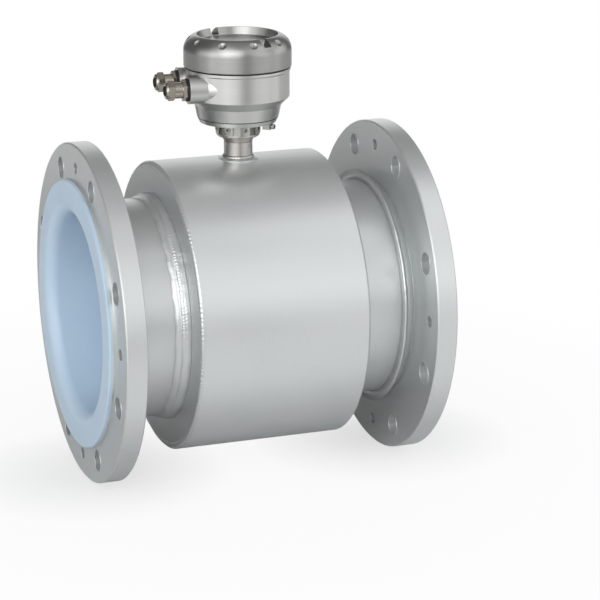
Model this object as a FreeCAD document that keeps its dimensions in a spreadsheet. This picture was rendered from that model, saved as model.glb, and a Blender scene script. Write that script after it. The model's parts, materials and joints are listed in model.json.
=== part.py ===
import FreeCAD, Part
import math
import os
import re
import Sketcher
from FreeCAD import Placement, Rotation, Vector

# Electromagnetic flow sensor, DN 200 PN 10, with a stainless connection head.
# Millimetres. X runs along the flow, from inlet to outlet; Z runs up the neck.
# The origin is the middle of the bore, under the neck.

SIZES = {
    # flow tube, flanges and liner
    "face_to_face": 350,
    "tube_diameter": 219.1,
    "tube_wall": 4.5,
    "flange_diameter": 340,
    "flange_thickness": 24,
    "raised_face_height": 3,
    "raised_face_diameter": 268,
    "flange_chamfer": 1.2,
    "socket_lip": 5,
    "bolt_circle": 295,
    "bolt_hole": 22,
    "bolt_count": 8,
    "handling_hole": 11.5,
    "handling_count": 4,
    "liner_bore": 200,
    "liner_lip": 4,
    "liner_lip_round": 1.5,
    "liner_flare": 12,
    "flange_weld_along": 13,
    "flange_weld_up": 11,
    "flange_weld_pass": 7.5,
    "flange_weld_waist_along": 5.5,
    "flange_weld_waist_up": 5,
    # coil housing
    "shell_diameter": 291,
    "shell_wall": 3,
    "shell_length": 174,
    "end_plate": 3.5,
    "edge_weld": 3.4,
    "edge_weld_setback": 2.5,
    "plate_weld_along": 9.6,
    "plate_weld_up": 4.5,
    "plate_weld_round": 9,
    # magnet system between the tube and the housing
    "pole_gap": 0.5,
    "pole_thickness": 2.5,
    "pole_length": 104,
    "pole_angle": 50,
    "coil_thickness": 13,
    "coil_length": 132,
    "coil_angle": 62,
    "coil_limb": 24,
    "coil_corner": 14,
    "coil_clearance": 0.5,
    "yoke_radius": 130,
    "yoke_thickness": 3,
    "yoke_length": 92,
    "yoke_window": 34,
    "yoke_lead_hole": 30,
    # electrodes
    "electrode_head": 16,
    "electrode_head_thickness": 1.5,
    "electrode_flat": 11.2,
    "electrode_dome": 0.4,
    "electrode_pin": 6,
    "electrode_reach": 128,
    "bush_diameter": 12,
    "bush_flange": 18,
    "bush_flange_thickness": 2,
    "spring_diameter": 14,
    "spring_height": 4,
    "spring_edge": 0.6,
    "spring_dish": 1.4,
    "spring_web": 9,
    "electrode_nut": 10,
    "electrode_nut_height": 5,
    # leads
    "lead_diameter": 2,
    "lead_radius": 136.5,
    "lead_bend": 7.5,
    "lead_spread": 5,
    "link_turn": 100,
    "link_gap": 0.05,
    "front_lead_level": 12,
    "coil_lead_level": 9,
    "rear_lead_level": 6,
    # neck
    "neck_diameter": 28.6,
    "neck_wall": 2.3,
    "neck_foot": 141,
    "saddle_diameter": 40,
    "saddle_top_diameter": 33,
    "saddle_top": 147.2,
    "saddle_side_top": 145.6,
    "neck_weld_height": 2.6,
    "neck_weld_bulge": 1.5,
    "neck_seam": 163,
    "neck_seam_groove": 0.5,
    "socket_shoulder": 168.5,
    "socket_top": 171.5,
    "socket_diameter": 43,
    "socket_chamfer": 1.2,
    "cone_diameter": 33.4,
    "cone_top": 168,
    "spigot_diameter": 30,
    "spigot_bore": 22,
    "spigot_top": 201,
    "ring_nut_diameter": 45,
    "ring_nut_top": 183.4,
    "ring_nut_slot": 7.5,
    "ring_nut_slot_depth": 6,
    "ring_nut_slot_count": 8,
    "lock_screw": 6,
    "lock_screw_stand": 0.6,
    "lock_screw_socket_depth": 2,
    # base plate and connection box
    "base_plate_diameter": 76.5,
    "base_plate_top_diameter": 80.5,
    "base_plate_top": 187.8,
    "gasket_thickness": 0.7,
    "gasket_setback": 0.3,
    "box_foot_diameter": 81.4,
    "box_waist_diameter": 86.4,
    "box_waist": 200.5,
    "box_diameter": 103,
    "box_chamfer_top": 209,
    "box_lip": 1,
    "box_lip_height": 2.6,
    "box_shoulder": 237.8,
    "box_floor": 194,
    "box_wall": 5,
    "box_spigot_diameter": 96,
    "box_spigot_top": 252,
    "lock_nut": 42,
    "lock_nut_height": 4.5,
    # bosses and cable glands
    "gland_spacing": 46,
    "gland_height": 221.4,
    "gland_turn": -4.4,
    "boss_diameter": 28,
    "boss_end": 56.4,
    "boss_bore_end": 20,
    "boss_flare_diameter": 37,
    "boss_flare_start": 38.5,
    "boss_flare_end": 30.5,
    "gland_thread": 16,
    "gland_thread_length": 10,
    "gland_washer": 22.5,
    "gland_washer_thickness": 2,
    "gland_hex": 19,
    "gland_hex_height": 3.6,
    "gland_body_diameter": 15.8,
    "gland_body_end": 13.6,
    "gland_spigot_diameter": 14.4,
    "gland_spigot_end": 17.6,
    "gland_bore": 8.4,
    "cap_nut_start": 13.8,
    "cap_nut_hex_end": 20,
    "cap_nut_end": 22.6,
    "cap_nut_hex": 17.4,
    "cap_nut_chamfer": 0.7,
    "cap_nut_end_diameter": 14,
    "cap_nut_dome_setback": 0.2,
    "cap_thread_clearance": 0.1,
    "cap_roof": 1.2,
    "insert_diameter": 11.2,
    "insert_clearance": 0.3,
    "insert_bore": 7,
    "insert_shoulder": 1.8,
    "insert_tip": 23.6,
    "insert_tip_chamfer": 0.6,
    # lid
    "lid_seal_thickness": 1.6,
    "lid_seal_bulge": 1.1,
    "lid_seal_diameter": 105,
    "lid_seal_bore": 97,
    "lid_diameter": 107.2,
    "lid_side_top": 255,
    "lid_foot_chamfer": 0.5,
    "lid_rim_diameter": 84,
    "lid_rim_top": 270.6,
    "lid_shoulder_radius": 16.3,
    "lid_rim_land": 1.6,
    "lid_recess_diameter": 76,
    "lid_recess_floor": 263.2,
    "lid_thread_clearance": 0.3,
    "lid_thread_top": 254,
    "lid_cavity_diameter": 90,
    "lid_ceiling": 258.6,
    "dimple_count": 10,
    "dimple_radius": 6,
    "dimple_depth": 1.9,
    "dimple_circle": 98,
    "bar_slot": 9,
    "bar_slot_turn": 17,
    "bar_slot_rise": 0.6,
    # terminals and ground connection
    "carrier_diameter": 78,
    "carrier_thickness": 2,
    "carrier_height": 208,
    "carrier_post": 7,
    "carrier_post_spacing": 62,
    "carrier_opening": 18,
    "terminal_length": 48,
    "terminal_width": 16,
    "terminal_height": 13,
    "terminal_step": 6,
    "terminal_screw": 4.4,
    "terminal_screw_head": 3,
    "terminal_screw_well": 4,
    "terminal_screw_slot": 0.9,
    "terminal_screw_slot_depth": 1,
    "terminal_count": 7,
    "terminal_end_wall": 1.3,
    "terminal_offset": 12,
    "ground_block_width": 8,
    "ground_block_height": 6,
    "ground_block_start": 29,
    "ground_block_end": 36.6,
    "ground_turn": -45,
    "ground_screw_head": 5.4,
    "ground_screw_level": 180.4,
    "ground_screw_shank": 3,
    "ground_screw_gap": 0.9,
    "ground_screw_chamfer": 0.5,
    "ground_screw_socket": 2,
    "ground_screw_end": 40.4,
}

doc = FreeCAD.newDocument("flow_sensor")
sheet = doc.addObject("Spreadsheet::Sheet", "Sizes")
for row, (name, number) in enumerate(SIZES.items(), start=1):
    sheet.set(f"A{row}", name)
    sheet.set(f"B{row}", str(number))
    sheet.setAlias(f"B{row}", name)
doc.recompute()

parts = []


def cells(formula):
    """A formula in the sizes' own names, as the document's expressions write it."""
    def as_cell(word):
        return "Sizes." + word[0] if word[0] in SIZES else word[0]
    return re.sub(r"[a-z_]+", as_cell, str(formula))


def value(formula):
    return float(sheet.evalExpression(cells(formula)))


def bind(item, **formulas):
    for name, formula in formulas.items():
        item.setExpression(name.replace("__", "."), cells(formula))


def keep(item, label):
    """Marks an object as one finished piece of the sensor."""
    item.Label = label
    parts.append(item)
    return item


def new_body(label):
    return keep(doc.addObject("PartDesign::Body", label), label)


def new_sketch(body, plane="XZ_Plane"):
    sketch = body.newObject("Sketcher::SketchObject", body.Label + "_sketch")
    origin = next(item for item in body.Origin.OriginFeatures if item.Role == plane)
    sketch.AttachmentSupport = [(origin, "")]
    sketch.MapMode = "FlatFace"
    return sketch


def arc_between(start, end, radius, away):
    """The shorter arc of that radius from start to end that bulges away from a point."""
    middle = (start + end) / 2
    normal = Vector(start.y - end.y, end.x - start.x, 0).normalize()
    if normal.dot(middle - away) < 0:
        normal = -normal
    half_chord = (end - start).Length / 2
    centre = middle - normal * math.sqrt(max(radius ** 2 - half_chord ** 2, 0))
    angles = [math.atan2(p.y - centre.y, p.x - centre.x) for p in (start, end)]
    forward = (angles[1] - angles[0]) % (2 * math.pi) < math.pi
    first, last = angles if forward else reversed(angles)
    if last < first:
        last += 2 * math.pi
    circle = Part.Circle(centre, Vector(0, 0, 1), radius)
    return Part.ArcOfCircle(circle, first, last), forward


def draw_outline(sketch, corners):
    """A closed outline. A corner is (across, up), and a radius follows where an arc that
    bulges out of the outline leaves it."""
    points = [Vector(value(corner[0]), value(corner[1]), 0) for corner in corners]
    middle = sum(points, Vector()) / len(points)
    starts = []
    ends = []
    for number, corner in enumerate(corners):
        start = points[number]
        end = points[(number + 1) % len(points)]
        if len(corner) == 2:
            edge, forward = Part.LineSegment(start, end), True
        else:
            edge, forward = arc_between(start, end, value(corner[2]), middle)
        sketch.addGeometry(edge)
        starts.append(1 if forward else 2)
        ends.append(2 if forward else 1)
    for number, corner in enumerate(corners):
        after = (number + 1) % len(corners)
        place = (number, starts[number])
        sketch.addConstraint(Sketcher.Constraint("Coincident", number, ends[number], after, starts[after]))
        for kind, formula in zip(("DistanceX", "DistanceY"), corner):
            index = sketch.addConstraint(Sketcher.Constraint(kind, -1, 1, *place, value(formula)))
            sketch.setExpression(f"Constraints[{index}]", cells(formula))
        if len(corner) > 2:
            index = sketch.addConstraint(Sketcher.Constraint("Radius", number, value(corner[2])))
            sketch.setExpression(f"Constraints[{index}]", cells(corner[2]))


def draw_circle(sketch, across, up, diameter):
    centre = Vector(value(across), value(up), 0)
    number = sketch.addGeometry(Part.Circle(centre, Vector(0, 0, 1), value(diameter) / 2))
    for kind, formula in (("DistanceX", across), ("DistanceY", up)):
        index = sketch.addConstraint(Sketcher.Constraint(kind, -1, 1, number, 3, value(formula)))
        sketch.setExpression(f"Constraints[{index}]", cells(formula))
    index = sketch.addConstraint(Sketcher.Constraint("Diameter", number, value(diameter)))
    sketch.setExpression(f"Constraints[{index}]", cells(diameter))


def turned(label, axis, *corners):
    """A piece turned about X or Z. Corners are (x, radius) about X, (radius, z) about Z."""
    body = new_body(label)
    sketch = new_sketch(body)
    draw_outline(sketch, corners)
    spin = body.newObject("PartDesign::Revolution", label + "_turned")
    spin.Profile = sketch
    spin.ReferenceAxis = (sketch, ["H_Axis" if axis == "X" else "V_Axis"])
    spin.Angle = 360
    doc.recompute()
    return body


def ring(label, axis, inner, outer, low, high):
    """A plain ring between two radii and two stations."""
    if axis == "X":
        return turned(label, axis, (low, inner), (high, inner), (high, outer), (low, outer))
    return turned(label, axis, (inner, low), (outer, low), (outer, high), (inner, high))


def cut_prism(body, plane, low, high, *outlines):
    """Cuts outlines drawn on an origin plane, between two distances along its normal."""
    sketch = new_sketch(body, plane)
    for outline in outlines:
        if isinstance(outline, tuple):
            draw_circle(sketch, *outline)
        else:
            draw_outline(sketch, outline)
    bind(sketch, AttachmentOffset__Base__z=low)
    pocket = body.newObject("PartDesign::Pocket", body.Label + "_cut")
    pocket.Profile = sketch
    bind(pocket, Length=f"({high}) - ({low})")
    pocket.Reversed = True
    doc.recompute()
    return pocket


def add_prism(body, plane, low, high, outline):
    """A pad of an outline drawn on an origin plane, between two distances along its normal."""
    sketch = new_sketch(body, plane)
    if isinstance(outline, tuple):
        draw_circle(sketch, *outline)
    else:
        draw_outline(sketch, outline)
    bind(sketch, AttachmentOffset__Base__z=low)
    pad = body.newObject("PartDesign::Pad", body.Label + "_pad")
    pad.Profile = sketch
    bind(pad, Length=f"({high}) - ({low})")
    doc.recompute()
    return pad


def repeat_round(body, feature, axis, count):
    """Repeats a feature evenly round the X or Z axis of its body."""
    pattern = body.newObject("PartDesign::PolarPattern", body.Label + "_pattern")
    pattern.Originals = [feature]
    role = axis + "_Axis"
    pattern.Axis = (next(item for item in body.Origin.OriginFeatures if item.Role == role), [""])
    pattern.Angle = 360
    bind(pattern, Occurrences=count)
    body.Tip = pattern
    doc.recompute()
    return pattern


def grooved(body, axis, *corners):
    """Turns away an outline all round X or Z."""
    sketch = new_sketch(body)
    draw_outline(sketch, corners)
    groove = body.newObject("PartDesign::Groove", body.Label + "_groove")
    groove.Profile = sketch
    groove.ReferenceAxis = (sketch, ["H_Axis" if axis == "X" else "V_Axis"])
    groove.Angle = 360
    doc.recompute()
    return groove


def hexagon(across_flats):
    corner = f"({across_flats}) / sqrt(3)"
    return [(f"{corner} * cos({60 * k})", f"{corner} * sin({60 * k})") for k in range(6)]


def rectangle(left, right, low, high):
    return [(left, low), (right, low), (right, high), (left, high)]


def place(item, rotation, **formulas):
    """Turns a piece into place and binds its position to the sheet."""
    item.Placement = Placement(Vector(), rotation)
    bind(item, **{f"Placement__Base__{axis}": formula for axis, formula in formulas.items()})
    doc.recompute()


def group(label, items):
    """Like pieces that share one name."""
    compound = doc.addObject("Part::Compound", label)
    compound.Links = items
    doc.recompute()
    return keep(compound, label)


# ---------------------------------------------------------------- flow tube
# A seamless tube, socketed at each end into a flat plate flange and welded behind it.

face = "face_to_face / 2"
raised_face = f"({face} - liner_lip)"
rim_face = f"({raised_face} - raised_face_height)"
flange_back = f"({raised_face} - flange_thickness)"
tube_end = f"({raised_face} - socket_lip)"
tube_outside = "(tube_diameter / 2)"
tube_inside = "(tube_diameter / 2 - tube_wall)"

measuring_tube = ring("measuring_tube", "X", tube_inside, tube_outside, f"-{tube_end}", tube_end)
cut_prism(measuring_tube, "XZ_Plane", f"-{tube_outside}", tube_outside, ("0", "0", "bush_diameter"))


def flange(label, side):
    """Plate flange: raised face, bolt holes off the centre lines, handling holes on them."""
    body = turned(
        label, "X",
        (f"{side} * {flange_back}", tube_outside),
        (f"{side} * {tube_end}", tube_outside),
        (f"{side} * {tube_end}", tube_inside),
        (f"{side} * {rim_face}", tube_inside),
        (f"{side} * {raised_face}", f"{tube_inside} + raised_face_height"),
        (f"{side} * {raised_face}", "raised_face_diameter / 2"),
        (f"{side} * {rim_face}", "raised_face_diameter / 2"),
        (f"{side} * {rim_face}", "flange_diameter / 2 - flange_chamfer"),
        (f"{side} * ({rim_face} - flange_chamfer)", "flange_diameter / 2"),
        (f"{side} * ({flange_back} + flange_chamfer)", "flange_diameter / 2"),
        (f"{side} * {flange_back}", "flange_diameter / 2 - flange_chamfer"),
    )
    low, high = sorted((f"{side} * {flange_back}", f"{side} * {rim_face}"), key=value)
    half_step = "180 / bolt_count"
    hole = (f"bolt_circle / 2 * sin({half_step})", f"bolt_circle / 2 * cos({half_step})", "bolt_hole")
    repeat_round(body, cut_prism(body, "YZ_Plane", low, high, hole), "X", "bolt_count")
    hole = ("0", "bolt_circle / 2", "handling_hole")
    repeat_round(body, cut_prism(body, "YZ_Plane", low, high, hole), "X", "handling_count")
    return body


def flange_weld(label, side):
    """Two overlapping passes in the corner between the flange's back and the tube."""
    waist_along = f"{side} * ({flange_back} - flange_weld_waist_along)"
    turned(
        label, "X",
        (f"{side} * {flange_back}", tube_outside),
        (f"{side} * {flange_back}", f"{tube_outside} + flange_weld_up", "flange_weld_pass"),
        (waist_along, f"{tube_outside} + flange_weld_waist_up", "flange_weld_pass"),
        (f"{side} * ({flange_back} - flange_weld_along)", tube_outside),
    )


for name, side in (("inlet", -1), ("outlet", 1)):
    flange(name + "_flange", side)
    flange_weld(name + "_flange_weld", side)

# Moulded liner, flared at each mouth and turned over both raised faces.
electrode_seat = "(liner_bore / 2 + electrode_head_thickness)"
bore_end = f"({face} - liner_flare)"
flare_edge = "(liner_bore / 2 + liner_flare)"
lip_corner = "raised_face_diameter / 2 - liner_lip_round"
liner = turned(
    "liner", "X",
    (f"-{bore_end}", "liner_bore / 2"),
    (bore_end, "liner_bore / 2", "liner_flare"),
    (face, flare_edge),
    (face, lip_corner, "liner_lip_round"),
    (f"{face} - liner_lip_round", "raised_face_diameter / 2"),
    (raised_face, "raised_face_diameter / 2"),
    (raised_face, f"{tube_inside} + raised_face_height"),
    (rim_face, tube_inside),
    (f"-{rim_face}", tube_inside),
    (f"-{raised_face}", f"{tube_inside} + raised_face_height"),
    (f"-{raised_face}", "raised_face_diameter / 2"),
    (f"-({face} - liner_lip_round)", "raised_face_diameter / 2", "liner_lip_round"),
    (f"-{face}", lip_corner),
    (f"-{face}", flare_edge, "liner_flare"),
)
cut_prism(liner, "XZ_Plane", f"-{electrode_seat}", electrode_seat, ("0", "0", "electrode_head"))
cut_prism(liner, "XZ_Plane", f"-{tube_outside}", tube_outside, ("0", "0", "electrode_pin"))

# ------------------------------------------------------------- coil housing
# A rolled shell closed by two ring plates, welded at the shell's edge and on the tube.

shell_outside = "(shell_diameter / 2)"
shell_inside = "(shell_diameter / 2 - shell_wall)"
plate_face = "(shell_length / 2)"
shell_end = f"({plate_face} - edge_weld_setback)"

housing_shell = ring("housing_shell", "X", shell_inside, shell_outside, f"-{shell_end}", shell_end)
cut_prism(housing_shell, "XY_Plane", "neck_foot", shell_outside, ("0", "0", "neck_diameter"))


def end_plate(name, side):
    low, high = sorted((f"{side} * ({plate_face} - end_plate)", f"{side} * {plate_face}"), key=value)
    ring(name + "_end_plate", "X", tube_outside, shell_inside, low, high)
    turned(
        name + "_shell_weld", "X",
        (f"{side} * {shell_end}", shell_inside),
        (f"{side} * {shell_end}", shell_outside, "edge_weld"),
        (f"{side} * {plate_face}", f"{shell_inside} - edge_weld_setback"),
        (f"{side} * {plate_face}", shell_inside),
    )
    turned(
        name + "_plate_weld", "X",
        (f"{side} * {plate_face}", tube_outside),
        (f"{side} * {plate_face}", f"{tube_outside} + plate_weld_up", "plate_weld_round"),
        (f"{side} * ({plate_face} + plate_weld_along)", tube_outside),
    )


for name, side in (("inlet", -1), ("outlet", 1)):
    end_plate(name, side)

# ------------------------------------------------------------ magnet system
# Saddle coils above and below the tube, each over a curved pole shoe, inside a steel yoke.

pole_inside = f"({tube_outside} + pole_gap)"
pole_outside = f"({pole_inside} + pole_thickness)"
coil_inside = f"({pole_outside} + coil_clearance)"
coil_outside = f"({coil_inside} + coil_thickness)"


def bent_plate(body, kind, side, inner, outer, half_length, half_angle):
    """A curved plate over or under the tube, added to a body or taken from it."""
    sketch = new_sketch(body)
    corners = rectangle(f"-({half_length})", half_length, f"{side} * {inner}", f"{side} * {outer}")
    draw_outline(sketch, corners)
    bend = body.newObject(kind, body.Label + "_bend")
    bend.Profile = sketch
    bend.ReferenceAxis = (sketch, ["H_Axis"])
    bend.Midplane = True
    bind(bend, Angle=f"2 * ({half_angle})")
    doc.recompute()
    return bend


def round_corners(body, feature, inner, outer, radius):
    """Rounds a bent plate's corners, the edges that run straight out from the tube."""
    names = []
    for number, edge in enumerate(feature.Shape.Edges, start=1):
        radii = sorted(math.hypot(vertex.Y, vertex.Z) for vertex in edge.Vertexes)
        level = len(radii) == 2 and abs(edge.Vertexes[0].X - edge.Vertexes[1].X) < 0.01
        if level and abs(radii[0] - value(inner)) < 0.01 and abs(radii[1] - value(outer)) < 0.01:
            names.append(f"Edge{number}")
    fillet = body.newObject("PartDesign::Fillet", body.Label + "_corners")
    fillet.Base = (feature, names)
    bind(fillet, Radius=radius)
    doc.recompute()
    return fillet


for name, side in (("upper", 1), ("lower", -1)):
    shoe = new_body(name + "_pole_shoe")
    bent_plate(shoe, "PartDesign::Revolution", side, pole_inside, pole_outside,
               "pole_length / 2", "pole_angle")
    coil = new_body(name + "_field_coil")
    bent_plate(coil, "PartDesign::Revolution", side, coil_inside, coil_outside,
               "coil_length / 2", "coil_angle")
    window = bent_plate(coil, "PartDesign::Groove", side, coil_inside, coil_outside,
                        "coil_length / 2 - coil_limb",
                        "coil_angle - coil_limb / (tube_diameter / 2) * 180 / pi")
    round_corners(coil, window, coil_inside, coil_outside, "coil_corner")

yoke_outside = "(yoke_radius + yoke_thickness)"
yoke = ring("magnetic_yoke", "X", "yoke_radius", yoke_outside, "-yoke_length / 2", "yoke_length / 2")
cut_prism(yoke, "XZ_Plane", f"-{yoke_outside}", yoke_outside, ("0", "0", "yoke_window"))
cut_prism(yoke, "XY_Plane", "0", yoke_outside, ("0", "0", "yoke_lead_hole"))

# --------------------------------------------------------------- electrodes
# Each electrode is drawn out through the liner by disc springs under its nut.

bush_top = f"({tube_outside} + bush_flange_thickness)"
spring_top = f"({bush_top} + spring_height)"
nut_top = f"({spring_top} + electrode_nut_height)"
pin = "(electrode_pin / 2)"
spring_rim = "(spring_diameter / 2)"


def electrode(name, turn):
    """The parts of one electrode, built up Z and laid over to one side of the tube."""
    head = "electrode_head / 2"
    pieces = [
        turned(
            name + "_electrode", "Z",
            ("0", "liner_bore / 2 - electrode_dome"),
            ("electrode_flat / 2", "liner_bore / 2 - electrode_dome"),
            (head, "liner_bore / 2"),
            (head, electrode_seat),
            (pin, electrode_seat),
            (pin, "electrode_reach"),
            ("0", "electrode_reach"),
        ),
        turned(
            name + "_electrode_bush", "Z",
            (pin, tube_inside),
            ("bush_diameter / 2", tube_inside),
            ("bush_diameter / 2", tube_outside),
            ("bush_flange / 2", tube_outside),
            ("bush_flange / 2", bush_top),
            (pin, bush_top),
        ),
        turned(
            name + "_electrode_spring", "Z",
            (pin, f"{bush_top} + spring_dish"),
            (spring_rim, bush_top),
            (spring_rim, f"{bush_top} + spring_edge"),
            ("spring_web / 2", f"{bush_top} + spring_height / 2"),
            (spring_rim, f"{spring_top} - spring_edge"),
            (spring_rim, spring_top),
            (pin, f"{spring_top} - spring_dish"),
        ),
    ]
    nut = new_body(name + "_electrode_nut")
    add_prism(nut, "XY_Plane", spring_top, nut_top, hexagon("electrode_nut"))
    cut_prism(nut, "XY_Plane", spring_top, nut_top, ("0", "0", "electrode_pin"))
    for piece in pieces + [nut]:
        place(piece, Rotation(Vector(1, 0, 0), turn))


electrode("front", 90)
electrode("rear", -90)

# -------------------------------------------------------------------- leads
# Enamelled leads follow the yoke to the neck and rise through it to the terminal block.


def bent_lead(label, edges):
    """A round lead along straight runs and tangent arcs."""
    path = Part.Wire(edges)
    start = path.OrderedEdges[0]
    section = Part.Circle(start.valueAt(start.FirstParameter), start.tangentAt(start.FirstParameter),
                          value("lead_diameter") / 2)
    lead = doc.addObject("Part::Feature", label)
    lead.Shape = path.makePipeShell([Part.Wire(section.toShape())], True, True)
    return keep(lead, label)


def arc_edge(centre, first, last):
    """A quarter turn or less from first to last about a centre."""
    middle = (first - centre + last - centre).normalize() * (first - centre).Length
    return Part.Arc(first, centre + middle, last).toShape()


def run(first, last):
    return Part.LineSegment(first, last).toShape()


def electrode_lead(name, side, top):
    """From the electrode's end, round the yoke on the housing's inside, and up the neck."""
    radius, bend, spread = value("lead_radius"), value("lead_bend"), value("lead_spread")
    block_bend = value("lead_diameter") * 2
    block_face = value("terminal_offset")
    low_y = math.sqrt((radius - bend) ** 2 - bend ** 2)
    low_centre = Vector(0, side * low_y, bend)
    low_end = low_centre * (radius / low_centre.Length)
    high_y = spread + bend
    high_centre = Vector(0, side * high_y, math.sqrt((radius + bend) ** 2 - high_y ** 2))
    high_start = high_centre * (radius / high_centre.Length)
    neck_start = Vector(0, side * spread, high_centre.z)
    round_middle = (low_end + high_start).normalize() * radius
    neck_end = Vector(0, side * spread, top - block_bend)
    over = neck_end + Vector(0, block_bend, block_bend)
    bent_lead(name + "_electrode_lead", [
        run(Vector(0, side * value("electrode_reach"), 0), Vector(0, side * low_y, 0)),
        arc_edge(low_centre, Vector(0, side * low_y, 0), low_end),
        Part.Arc(low_end, round_middle, high_start).toShape(),
        arc_edge(high_centre, high_start, neck_start),
        run(neck_start, neck_end),
        arc_edge(neck_end + Vector(0, block_bend, 0), neck_end, over),
        run(over, Vector(0, block_face, top)),
    ])


def field_coil_lead(top):
    """From the upper coil's end limb, along the yoke, and up the neck."""
    radius, bend, spread = value("lead_radius"), value("lead_bend"), value("lead_spread")
    block_bend = value("lead_diameter") * 2
    limb = -value("coil_length / 2 - coil_limb / 2")
    rise = Vector(limb, 0, radius - bend)
    along = Vector(limb + bend, 0, radius)
    near = Vector(-spread - bend, 0, radius)
    neck_start = near + Vector(bend, 0, bend)
    neck_end = Vector(-spread, 0, top - block_bend)
    over = neck_end + Vector(0, block_bend, block_bend)
    bent_lead("field_coil_lead", [
        run(Vector(limb, 0, value(coil_outside)), rise),
        arc_edge(rise + Vector(bend, 0, 0), rise, along),
        run(along, near),
        arc_edge(near + Vector(0, 0, bend), near, neck_start),
        run(neck_start, neck_end),
        arc_edge(neck_end + Vector(0, block_bend, 0), neck_end, over),
        run(over, Vector(-spread, value("terminal_offset"), top)),
    ])


electrode_lead("front", -1, value("carrier_height + front_lead_level"))
electrode_lead("rear", 1, value("carrier_height + rear_lead_level"))
field_coil_lead(value("carrier_height + coil_lead_level"))

coil_link = keep(doc.addObject("Part::Torus", "coil_link_lead"), "coil_link_lead")
bind(coil_link, Radius1=f"{coil_outside} + lead_diameter / 2 + link_gap", Radius2="lead_diameter / 2",
     Angle3="link_turn")
link_start = math.radians(value("link_turn") / 2)
place(coil_link, Rotation(Vector(0, math.cos(link_start), math.sin(link_start)), Vector(),
                          Vector(-1, 0, 0), "ZXY"),
      x="-(coil_length / 2 - coil_limb / 2)")

# --------------------------------------------------------------------- neck
# A pipe welded to the shell over a saddle, with a turned spigot that carries the box.

neck_outside = "(neck_diameter / 2)"
neck_inside = "(neck_diameter / 2 - neck_wall)"

saddle = turned(
    "neck_saddle", "Z",
    (neck_outside, "neck_foot"),
    ("saddle_diameter / 2", "neck_foot"),
    ("saddle_diameter / 2", "saddle_side_top"),
    ("saddle_top_diameter / 2", "saddle_top"),
    (neck_outside, "saddle_top"),
)
cut_prism(saddle, "YZ_Plane", "-saddle_diameter", "saddle_diameter", ("0", "0", "shell_diameter"))
ring("neck_pipe", "Z", neck_inside, neck_outside, "neck_foot", "neck_seam")
turned(
    "neck_base_weld", "Z",
    (neck_outside, "saddle_top"),
    (f"{neck_outside} + neck_weld_bulge", "saddle_top", "neck_weld_height"),
    (neck_outside, "saddle_top + neck_weld_height"),
)

spigot = "(spigot_diameter / 2)"
turned(
    "neck_spigot", "Z",
    ("spigot_bore / 2", "neck_seam"),
    (f"{neck_outside} - neck_seam_groove", "neck_seam"),
    (neck_outside, "neck_seam + neck_seam_groove"),
    ("cone_diameter / 2", "cone_top"),
    ("socket_diameter / 2 - socket_chamfer", "socket_shoulder"),
    ("socket_diameter / 2", "socket_shoulder + socket_chamfer"),
    ("socket_diameter / 2", "socket_top"),
    (spigot, "socket_top"),
    (spigot, "spigot_top"),
    ("spigot_bore / 2", "spigot_top"),
)

# Slotted ring nut: eight lands for a hook spanner, each with a radial lock screw.
ring_nut = ring("ring_nut", "Z", spigot, "ring_nut_diameter / 2", "socket_top", "ring_nut_top")
slot_floor = "ring_nut_diameter / 2 - ring_nut_slot_depth"
slot = rectangle(slot_floor, "ring_nut_diameter", "-ring_nut_slot / 2", "ring_nut_slot / 2")
slot_cut = cut_prism(ring_nut, "XY_Plane", "socket_top", "ring_nut_top", slot)
bind(slot_cut.Profile[0], AttachmentOffset__Rotation__Angle="180 / ring_nut_slot_count")
repeat_round(ring_nut, slot_cut, "Z", "ring_nut_slot_count")
screw_height = "(socket_top / 2 + ring_nut_top / 2)"
screw_hole = cut_prism(ring_nut, "YZ_Plane", spigot, "ring_nut_diameter / 2",
                       ("0", screw_height, "lock_screw"))
repeat_round(ring_nut, screw_hole, "Z", "ring_nut_slot_count")


def socket_screw(label, diameter, start, end, socket_start, socket_width):
    """A screw along X with a hexagon socket in its outer end."""
    shank = doc.addObject("Part::Cylinder", label + "_shank")
    bind(shank, Radius=f"({diameter}) / 2", Height=f"({end}) - ({start})")
    socket = doc.addObject("Part::Prism", label + "_socket")
    socket.Polygon = 6
    bind(socket, Circumradius=f"({socket_width}) / sqrt(3)", Height=f"({end}) - ({socket_start})")
    bind(socket, Placement__Base__z=f"({socket_start}) - ({start})")
    screw = doc.addObject("Part::Cut", label)
    screw.Base = shank
    screw.Tool = socket
    return screw


lock_screws = []
for number in range(int(value("ring_nut_slot_count"))):
    screw = socket_screw(f"lock_screw_{number}", "lock_screw", spigot,
                         "ring_nut_diameter / 2 + lock_screw_stand",
                         "ring_nut_diameter / 2 - lock_screw_socket_depth", "lock_screw / 2")
    turn = f"{number} * 360 / ring_nut_slot_count"
    along_x = Rotation(Vector(0, 1, 0), 90)
    place(screw, Rotation(Vector(0, 0, 1), value(turn)) * along_x,
          x=f"{spigot} * cos({turn})", y=f"{spigot} * sin({turn})", z=screw_height)
    lock_screws.append(screw)
group("ring_nut_screws", lock_screws)

# --------------------------------------------------------------- connection box
# A turned stainless box on its base plate, clamped to the spigot by an inner nut.

box_foot = "(base_plate_top + gasket_thickness)"
turned(
    "box_base_plate", "Z",
    (spigot, "ring_nut_top"),
    ("base_plate_diameter / 2", "ring_nut_top"),
    ("base_plate_top_diameter / 2", "base_plate_top"),
    (spigot, "base_plate_top"),
)
ring("base_gasket", "Z", spigot, "base_plate_top_diameter / 2 - gasket_setback", "base_plate_top", box_foot)

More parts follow.
